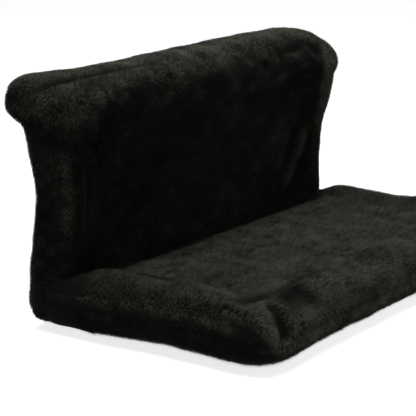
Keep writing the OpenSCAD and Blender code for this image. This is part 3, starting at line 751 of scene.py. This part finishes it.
def zinc_finish():
    """Zinc plate with faint spangles, and fine scratches where it is handled."""
    material, make, shader, patches, grain = new_finish("zinc_plate", 70.0, 260.0)
    place = make.add("ShaderNodeTexCoord").outputs["Object"]
    cells = make.add("ShaderNodeTexVoronoi")
    make.link(place, cells.inputs["Vector"])
    cells.inputs["Scale"].default_value = 230.0
    spangles = make.spread(cells.outputs["Distance"], 0.1, 0.8)
    tone = make.sums("ADD", make.sums("MULTIPLY", patches, 0.6), make.sums("MULTIPLY", spangles, 0.4))
    make.link(make.blend(tone, (0.33, 0.34, 0.35, 1), (0.60, 0.61, 0.62, 1)), shader.inputs["Base Color"])
    shader.inputs["Metallic"].default_value = 1.0
    make.link(make.spread(tone, 0.0, 1.0, 0.28, 0.46), shader.inputs["Roughness"])
    drawn = make.add("ShaderNodeMapping")
    make.link(place, drawn.inputs["Vector"])
    drawn.inputs["Scale"].default_value = (1.0, 0.06, 0.06)
    scratches = make.noise(drawn.outputs[0], 1600.0, 2.0, 0.7).outputs[0]
    raise_surface(make, shader, make.sums("ADD", scratches, grain), 0.00005)
    return material


def rubber_finish():
    """Soft black rubber, dusty in places."""
    material, make, shader, patches, grain = new_finish("soft_rubber", 60.0, 1100.0)
    colour = make.blend(patches, (0.010, 0.010, 0.010, 1), (0.024, 0.024, 0.023, 1))
    make.link(colour, shader.inputs["Base Color"])
    make.link(make.spread(patches, 0.0, 1.0, 0.66, 0.86), shader.inputs["Roughness"])
    raise_surface(make, shader, grain, 0.00006)
    return material


def plastic_finish():
    """Moulded black plastic with a fine spark texture."""
    material, make, shader, patches, grain = new_finish("moulded_plastic", 80.0, 1900.0)
    colour = make.blend(patches, (0.012, 0.012, 0.012, 1), (0.022, 0.022, 0.022, 1))
    make.link(colour, shader.inputs["Base Color"])
    make.link(make.spread(grain, 0.0, 1.0, 0.38, 0.52), shader.inputs["Roughness"])
    raise_surface(make, shader, grain, 0.00005)
    return material


def foam_finish():
    """Cut foam: open cells, a little yellowed in patches."""
    material, make, shader, patches, grain = new_finish("cut_foam", 25.0, 500.0)
    cells = make.add("ShaderNodeTexVoronoi")
    make.link(make.add("ShaderNodeTexCoord").outputs["Object"], cells.inputs["Vector"])
    cells.inputs["Scale"].default_value = 700.0
    open_cells = make.spread(cells.outputs["Distance"], 0.1, 0.7)
    tone = make.sums("ADD", make.sums("MULTIPLY", patches, 0.5), make.sums("MULTIPLY", open_cells, 0.5))
    make.link(make.blend(tone, (0.46, 0.42, 0.31, 1), (0.66, 0.62, 0.50, 1)), shader.inputs["Base Color"])
    make.link(make.spread(grain, 0.0, 1.0, 0.84, 0.98), shader.inputs["Roughness"])
    raise_surface(make, shader, open_cells, 0.0006)
    return material


def wadding_finish():
    """Carded polyester wadding: tangled white fibres in soft tufts."""
    material, make, shader, patches, grain = new_finish("carded_wadding", 55.0, 700.0)
    place = make.add("ShaderNodeTexCoord").outputs["Object"]
    strands = make.noise(place, 320.0, 4.0, 0.75, 3.0).outputs[0]
    tone = make.sums("ADD", make.sums("MULTIPLY", patches, 0.5), make.sums("MULTIPLY", strands, 0.5))
    make.link(make.blend(tone, (0.52, 0.52, 0.50, 1), (0.72, 0.72, 0.70, 1)), shader.inputs["Base Color"])
    make.link(make.spread(grain, 0.0, 1.0, 0.85, 1.0), shader.inputs["Roughness"])
    raise_surface(make, shader, make.sums("ADD", strands, patches), 0.0010)
    return material


def tape_finish():
    """Woven zip tape: warp and weft threads at a fine pitch."""
    material, make, shader, patches, grain = new_finish("woven_tape", 50.0, 1500.0)
    x, y, z = make.add("ShaderNodeSeparateXYZ").outputs
    make.link(make.add("ShaderNodeTexCoord").outputs["Object"], x.node.inputs[0])
    warp = make.sums("ABSOLUTE", make.sums("SINE", make.sums("MULTIPLY", z, math.pi / 0.0007)))
    weft = make.sums("ABSOLUTE", make.sums("SINE", make.sums("MULTIPLY", x, math.pi / 0.0007)))
    threads = make.sums("MAXIMUM", make.sums("MULTIPLY", warp, 0.8), weft)
    tone = make.sums("ADD", make.sums("MULTIPLY", threads, 0.7), make.sums("MULTIPLY", patches, 0.3))
    colour = make.blend(tone, (0.006, 0.006, 0.006, 1), (0.022, 0.022, 0.021, 1))
    make.link(colour, shader.inputs["Base Color"])
    make.link(make.spread(grain, 0.0, 1.0, 0.75, 0.92), shader.inputs["Roughness"])
    raise_surface(make, shader, threads, 0.0002)
    return material


def thread_finish():
    """Twisted black thread, a little shiny along its turns."""
    material, make, shader, patches, grain = new_finish("twisted_thread", 60.0, 2200.0)
    colour = make.blend(grain, (0.010, 0.010, 0.010, 1), (0.045, 0.045, 0.042, 1))
    make.link(colour, shader.inputs["Base Color"])
    make.link(make.spread(patches, 0.0, 1.0, 0.5, 0.68), shader.inputs["Roughness"])
    raise_surface(make, shader, grain, 0.0001)
    return material


paint = frame_paint_finish()
zinc = zinc_finish()
rubber = rubber_finish()
plastic = plastic_finish()
foam = foam_finish()
wadding = wadding_finish()
tape = tape_finish()
thread = thread_finish()
# The finish of each CAD node whose name holds the word
finishes = {"tube": paint, "guide": paint, "hook_left": zinc, "hook_right": zinc, "screws": zinc,
            "sleeve": rubber, "plugs": plastic, "clamp_screw": plastic, "foam": foam, "wadding": wadding,
            "zip_tape": tape, "zip_slider": zinc, "zip_pull": zinc}


def finish_for(name):
    """The longest matching word decides, so that a hook's guide isn't taken for a hook."""
    words = [word for word in finishes if word in name]
    return finishes[max(words, key=len)] if words else None


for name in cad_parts:
    node = bpy.data.objects.get(name)
    finish = finish_for(name)
    if node is None or finish is None or "cover" in name:
        continue
    for held in node.material_slots:
        held.material = finish


def shade_folds(shade, length, p, folds):
    """Paints shade into the creases and a highlight onto the ridges, and shortens the pile in the creases."""
    for route, height, wide, fade_in, fade_out in folds:
        pull = fold_strength(p, route, wide, fade_in, fade_out)
        if height < 0:
            shade = shade * (1 - 0.95 * pull)
            length = length * (1 - 0.75 * pull)
        else:
            shade = shade + 0.6 * pull
    return shade, length


def cloudy(p, size, seed):
    """Soft uneven patches from -1 to 1, as sums of waves in seeded directions."""
    chance = np.random.default_rng(seed)
    total = np.zeros(len(p))
    for step in range(14):
        way = chance.normal(size=3)
        way *= 2 * math.pi / (size * chance.uniform(0.6, 2.2)) / np.linalg.norm(way)
        total += np.sin(p @ way + chance.uniform(0, 2 * math.pi))
    return total / 3.2


def comb_and_painted_light_back(p, n):
    """Brushed down the panel and over the roll; the panel's front is painted dark as shade, and the roll, the
    rims and the near top painted light.
    """
    way = np.zeros_like(p)
    way[:, 2] = -1
    way[:, 0] = 0.6 * p[:, 0] / half_w
    top = ease((n[:, 2] - 0.3) / 0.4)[:, None]
    comb = way * (1 - top) + top * np.array([0.5, 0.8, 0])
    patches, flecks = cloudy(p, 0.045, 3), cloudy(p, 0.016, 8)
    low_edge = np.interp(p[:, 0], (-0.24, -0.20, -0.15, -0.10, 0.0, 0.1, 0.2),
                         (0.200, 0.202, 0.212, 0.219, 0.216, 0.219, 0.218))
    low_edge += 0.005 * patches + 0.004 * flecks
    # From its low edge upwards the roll is painted light, where the top lamp falls on it
    lit = np.maximum(ease((p[:, 2] - low_edge) / 0.009), ease((n[:, 2] - 0.5) / 0.25))
    # Painted shade on the front of the panel, less of it towards the top and at the near top end
    shade = 0.08 + 0.06 * patches + 0.08 * np.clip(flecks, 0, 2)
    shade += 0.12 * ease((p[:, 2] - 0.165) / 0.04) * np.clip(0.4 + patches + flecks, 0, 2)
    near_top = ease((p[:, 2] - 0.185) / 0.02) * ease((-0.13 - p[:, 0]) / 0.05)
    shade += 0.30 * near_top * np.clip(0.4 + patches + flecks, 0, 2)
    behind = ease((n[:, 1] - 0.1) / 0.4)
    shade = np.clip(shade, 0.01, 1) * (1 - behind) + (0.42 + 0.10 * patches + 0.12 * flecks) * behind
    # Painted light on the side rims of the panel, brightest on the far rim
    rim = ease((np.abs(p[:, 0]) - 0.200) / 0.02)
    shade = np.maximum(shade, (0.19 + 0.12 * flecks) * rim)
    far_rim = ease((p[:, 0] - 0.187) / 0.011) * ease((p[:, 2] - 0.05) / 0.12)
    shade = np.maximum(shade, (0.95 + 0.25 * flecks) * far_rim)
    lit_shade = 0.72 + 0.22 * flecks + 0.10 * ease((p[:, 0] - 0.06) / 0.1)
    shade = np.clip(shade, 0.01, 1) * (1 - lit) + lit * lit_shade
    shade, length = shade_folds(shade, np.ones(len(p)), p, back_folds)
    # Painted shade along the seam on top of the roll, where the pile is also shorter
    crease = crease_strength(p, 0.0028)
    shade *= (1 - 0.95 * crease) ** 2
    length *= 1 - 0.92 * crease
    # No pile in the slot and where the hooks come out, and shorter pile at the slot's edges and the hem
    behind = (n[:, 1] > 0.1) & (p[:, 1] > seam_y)
    slot = behind & (np.abs(p[:, 2] - zip_z) < 0.0065) & (np.abs(p[:, 0]) < pull_reach)
    arms = behind & (np.abs(np.abs(p[:, 0]) - arm_x) < 0.0150) & (np.abs(p[:, 2] - arm_z) < 0.0045)
    length[slot | arms] = 0
    hem = behind & (np.abs(p[:, 2] - hem_z + 0.0065) < 0.0018) & (np.abs(p[:, 0]) < 0.22)
    length[hem] *= 0.45
    near_slot = behind & (np.abs(p[:, 2] - zip_z) < 0.009) & (np.abs(p[:, 0]) < pull_reach + 0.002)
    length[near_slot] *= 0.6
    return comb, shade, length


def comb_and_painted_light_seat(p, n):
    """Brushed towards the near front corner on the top and down the sides; painted lighter where the surface
    faces up and forward, and darker as shade low on the sides, by the back and in the creases and puckers.
    """
    way = np.zeros_like(p)
    way[:, 1] = -1
    way[:, 0] = 0.7
    side = ease((0.5 - np.abs(n[:, 2])) / 0.3)[:, None]
    comb = way * (1 - side) + side * np.array([0, 0, -1])
    flecks = cloudy(p, 0.018, 4)
    # Painted light and shade: lighter where the surface faces up and forward, and above the seam
    facing_light = n[:, 2] + 0.70 * np.clip(-n[:, 1], 0, 1) + 0.15 * flecks
    facing_light += 0.40 * ease((p[:, 2] - seam_z) / 0.02)
    unrest = 0.08 + 0.22 * ease((np.maximum(np.abs(p[:, 0]) - 0.15, -0.09 - p[:, 1])) / 0.04)
    upper = 0.86 + unrest * flecks + 0.06 * cloudy(p, 0.05, 9)
    shade = 0.16 + upper * ease((facing_light + 0.02) / 0.85)
    # Painted light on the top of the near rim and on the near front corner
    near_rim = ease((-p[:, 0] - 0.185) / 0.02) * ease((p[:, 2] - 0.036) / 0.010)
    near_corner = ease((-p[:, 0] - 0.11) / 0.05) * ease((-0.150 - p[:, 1]) / 0.02)
    near_corner *= ease((p[:, 2] - 0.008) / 0.012)
    shade *= 1 + 0.35 * near_rim + 0.55 * near_corner
    # Painted shade below the seam on the sides, and where the seat meets the back
    shade *= 1 - 0.6 * ease((seam_z + 0.003 - p[:, 2]) / 0.005) * ease((np.abs(n[:, 0]) - 0.2) / 0.4)
    shade *= 1 - 0.8 * ease((p[:, 1] - 0.016) / 0.024) * ease((0.195 - np.abs(p[:, 0])) / 0.02)
    shade = np.maximum(shade, (0.42 + 0.12 * flecks) * ease((-n[:, 2] - 0.6) / 0.3))
    # Painted shade in the puckers behind the near front corner
    for place in seat_dimples:
        gap = np.linalg.norm((p - np.array(place)) * (0.7, 1.1, 1), axis=1)
        shade = shade * (1 - 0.93 * np.exp(-(gap / 0.0125) ** 4))
    length = 1 - 0.6 * ease((p[:, 1] - 0.022) / 0.02)
    return (comb, *shade_folds(shade, length, p, seat_folds))


comb_skin(back, comb_and_painted_light_back)
comb_skin(seat, comb_and_painted_light_seat)
for piece in (back, seat):
    piece.data.materials.clear()
    piece.data.materials.append(skin_finish)
    make_active(piece)
    bpy.ops.object.shade_smooth()
    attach(piece, "bed")
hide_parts("back_front_cover", "back_rear_cover", "top_band_cover")
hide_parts("seat_top_cover", "seat_under_cover")


def lay_row(name, model, places, turns, finish, body):
    """Copies one modelled piece to every place of a row, with its own turn, and joins the copies."""
    copies = []
    for place, turn in zip(places, turns):
        make_active(model)
        bpy.ops.object.duplicate()
        copy = bpy.context.object
        copy.location = place
        copy.rotation_euler = turn
        copies.append(copy)
    deselect()
    for copy in copies:
        copy.select_set(True)
    bpy.context.view_layer.objects.active = copies[0]
    bpy.ops.object.transform_apply(location=True, rotation=True, scale=True)
    bpy.ops.object.join()
    row = bpy.context.object
    row.name = name
    row.data.name = name
    bpy.ops.object.mode_set(mode="EDIT")
    bpy.ops.mesh.select_all(action="SELECT")
    bpy.ops.mesh.normals_make_consistent(inside=False)
    bpy.ops.object.mode_set(mode="OBJECT")
    bpy.ops.object.shade_smooth_by_angle(angle=math.radians(45))
    row.data.materials.clear()
    row.data.materials.append(finish)
    bpy.data.objects.remove(model)
    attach(row, body)
    return row


thread_round = 0.00035
stitch_long = 0.0028
stitch_pitch = 0.0040
stitches_half = 37
hem_pitch = 0.0046
hem_half = 47
hem_drop = 0.0065
hook_clear = 0.020
tooth_pitch = 0.0012
tooth_tilt = 0.35
zip_seam = 0.0052


def make_tooth():
    """One turn of the zip's coil: a bent bar across both tapes' edges."""
    tooth = block("tooth", (-0.00035, -0.0004, -0.0016), (0.00035, 0.0004, 0.0016))
    select_edges(tooth, lambda m, d: abs(d.z) > 0.9)
    bevel_selected(0.0002, 1)
    make_active(tooth)
    bpy.ops.object.mode_set(mode="EDIT")
    bpy.ops.mesh.select_all(action="DESELECT")
    bpy.ops.object.mode_set(mode="OBJECT")
    for face in tooth.data.polygons:
        face.select = abs(face.normal.z) > 0.9
    bpy.ops.object.mode_set(mode="EDIT")
    bpy.ops.mesh.inset(thickness=0.00015)
    bpy.ops.object.mode_set(mode="OBJECT")
    return tooth


def make_stitch():
    """One stitch: a short round thread whose ends dive into the fabric."""
    deselect()
    lying = (0, math.pi / 2, 0)
    bpy.ops.mesh.primitive_cylinder_add(vertices=6, radius=thread_round, depth=stitch_long, rotation=lying)
    stitch = bpy.context.object
    set_place(stitch)
    bpy.ops.object.mode_set(mode="EDIT")
    bpy.ops.mesh.select_all(action="DESELECT")
    bpy.ops.object.mode_set(mode="OBJECT")
    for face in stitch.data.polygons:
        face.select = abs(face.normal.x) > 0.9
    bpy.ops.object.mode_set(mode="EDIT")
    bpy.ops.mesh.inset(thickness=0.00016, depth=0.0004)
    bpy.ops.object.mode_set(mode="OBJECT")
    p = points_of(stitch)
    p[:, 1] -= 0.0008 * ease((np.abs(p[:, 0]) - 0.0008) / 0.001)
    put_points(stitch, p)
    return stitch


def skin_behind(piece, x, z):
    """The place and slope of the skin's rear face at this x and z."""
    hit, place, normal, face = piece.ray_cast(Vector((x, 0.3, z)), Vector((0, -1, 0)))
    return (place, normal) if hit else (Vector((x, back_plane, z)), Vector((0, 1, 0)))


def add_zip_trim():
    """The coil that the slider runs on, and the stitching that holds the tape and the hem."""
    count = int(2 * zip_reach / tooth_pitch)
    teeth = [((i - count / 2) * tooth_pitch, zip_box[1].y + 0.0003, zip_z) for i in range(count + 1)]
    tilts = [(0, tooth_tilt if i % 2 else -tooth_tilt, 0) for i in range(len(teeth))]
    lay_row("zip_coil", make_tooth(), teeth, tilts, thread, "bed")
    places, turns = [], []
    for z in (zip_z - zip_seam, zip_z + zip_seam):
        for i in range(2 * stitches_half + 1):
            places.append(((i - stitches_half) * stitch_pitch, zip_box[1].y + 0.0002, z))
            turns.append((0, 0, 0))
    lay_row("zip_stitching", make_stitch(), places, turns, thread, "bed")
    places, turns = [], []
    for i in range(2 * hem_half + 1):
        x = (i - hem_half) * hem_pitch
        place, normal = skin_behind(back, x, hem_z - hem_drop)
        if abs(abs(x) - arm_x) > hook_clear:
            places.append(place + normal * 0.0006)
            turns.append(normal.to_track_quat("Y", "Z").to_euler())
    lay_row("hem_stitching", make_stitch(), places, turns, thread, "bed")


add_zip_trim()
fibre = make_fibre()
# Each pile's faces, its fibres per square metre, its seed and its unrest
grow_pile("back_pile_front", back, fibre, lambda m, n: n[:, 1] < 0, 1350000, 11, 1.0)
grow_pile("back_pile_rear", back, fibre, lambda m, n: n[:, 1] >= 0, 1200000, 23, 0.8)
grow_pile("seat_pile_top", seat, fibre, lambda m, n: n[:, 2] > 0, 1370000, 37, 0.55)
grow_pile("seat_pile_under", seat, fibre, lambda m, n: n[:, 2] <= 0, 1000000, 41, 0.8)
bpy.data.objects.remove(fibre)

# Camera: level with the top of the back, turned to the near left corner
camera_place = Vector((-1.35762, -0.89294, 0.47141))
camera_turn = math.radians(55.26)
camera_dip = math.radians(13.64)
floor_z = -0.005
lamp_aim = Vector((0, 0, 0.1))
lamp_wide = 1.2


def add_camera():
    deselect()
    bpy.ops.object.camera_add(location=camera_place)
    camera = bpy.context.object
    camera.name = "camera"
    camera.rotation_euler = (math.pi / 2 - camera_dip, 0, -camera_turn)
    camera.data.sensor_width = 36
    camera.data.lens = 147.1
    camera.data.clip_start = 0.05
    camera.data.clip_end = 60
    bpy.context.scene.camera = camera


def add_lamp(name, place, energy):
    deselect()
    bpy.ops.object.light_add(type="AREA", location=place)
    lamp = bpy.context.object
    lamp.name = name
    lamp.rotation_euler = (lamp_aim - Vector(place)).to_track_quat("-Z", "Y").to_euler()
    lamp.data.shape = "SQUARE"
    lamp.data.size = lamp_wide
    lamp.data.energy = energy


def seen_as_backdrop(make):
    """1 where the backdrop is looked at, straight or in a reflection, and 0 where it lights the object."""
    path = make.add("ShaderNodeLightPath")
    seen = make.sums("MAXIMUM", path.outputs["Is Camera Ray"], path.outputs["Is Glossy Ray"])
    return make.sums("MAXIMUM", seen, path.outputs["Is Transmission Ray"])


def add_floor():
    deselect()
    bpy.ops.mesh.primitive_plane_add(size=60, location=(0, 0, floor_z))
    floor = bpy.context.object
    floor.name = "floor"
    material = bpy.data.materials.new("white_floor")
    material.use_nodes = True
    make = Maker(material.node_tree)
    shader = material.node_tree.nodes["Principled BSDF"]
    shader.inputs["Base Color"].default_value = (0.8, 0.8, 0.8, 1)
    shader.inputs["Roughness"].default_value = 0.9
    seen = seen_as_backdrop(make)
    make.feed(shader.inputs["Emission Color"], (1, 1, 1, 1))
    make.link(make.sums("MULTIPLY", seen, 0.8), shader.inputs["Emission Strength"])
    floor.data.materials.append(material)


def add_world():
    world = bpy.data.worlds.new("studio")
    world.use_nodes = True
    make = Maker(world.node_tree)
    background = world.node_tree.nodes["Background"]
    seen = seen_as_backdrop(make)
    make.link(make.blend(seen, (0.04, 0.04, 0.04, 1), (1, 1, 1, 1)), background.inputs["Color"])
    bpy.context.scene.world = world


add_camera()
add_floor()
add_world()
add_lamp("top_softbox", (-0.15, -0.05, 1.5), 30)
add_lamp("front_fill", (0.3, -1.9, 0.9), 4)
bpy.context.scene.view_settings.view_transform = "Standard"
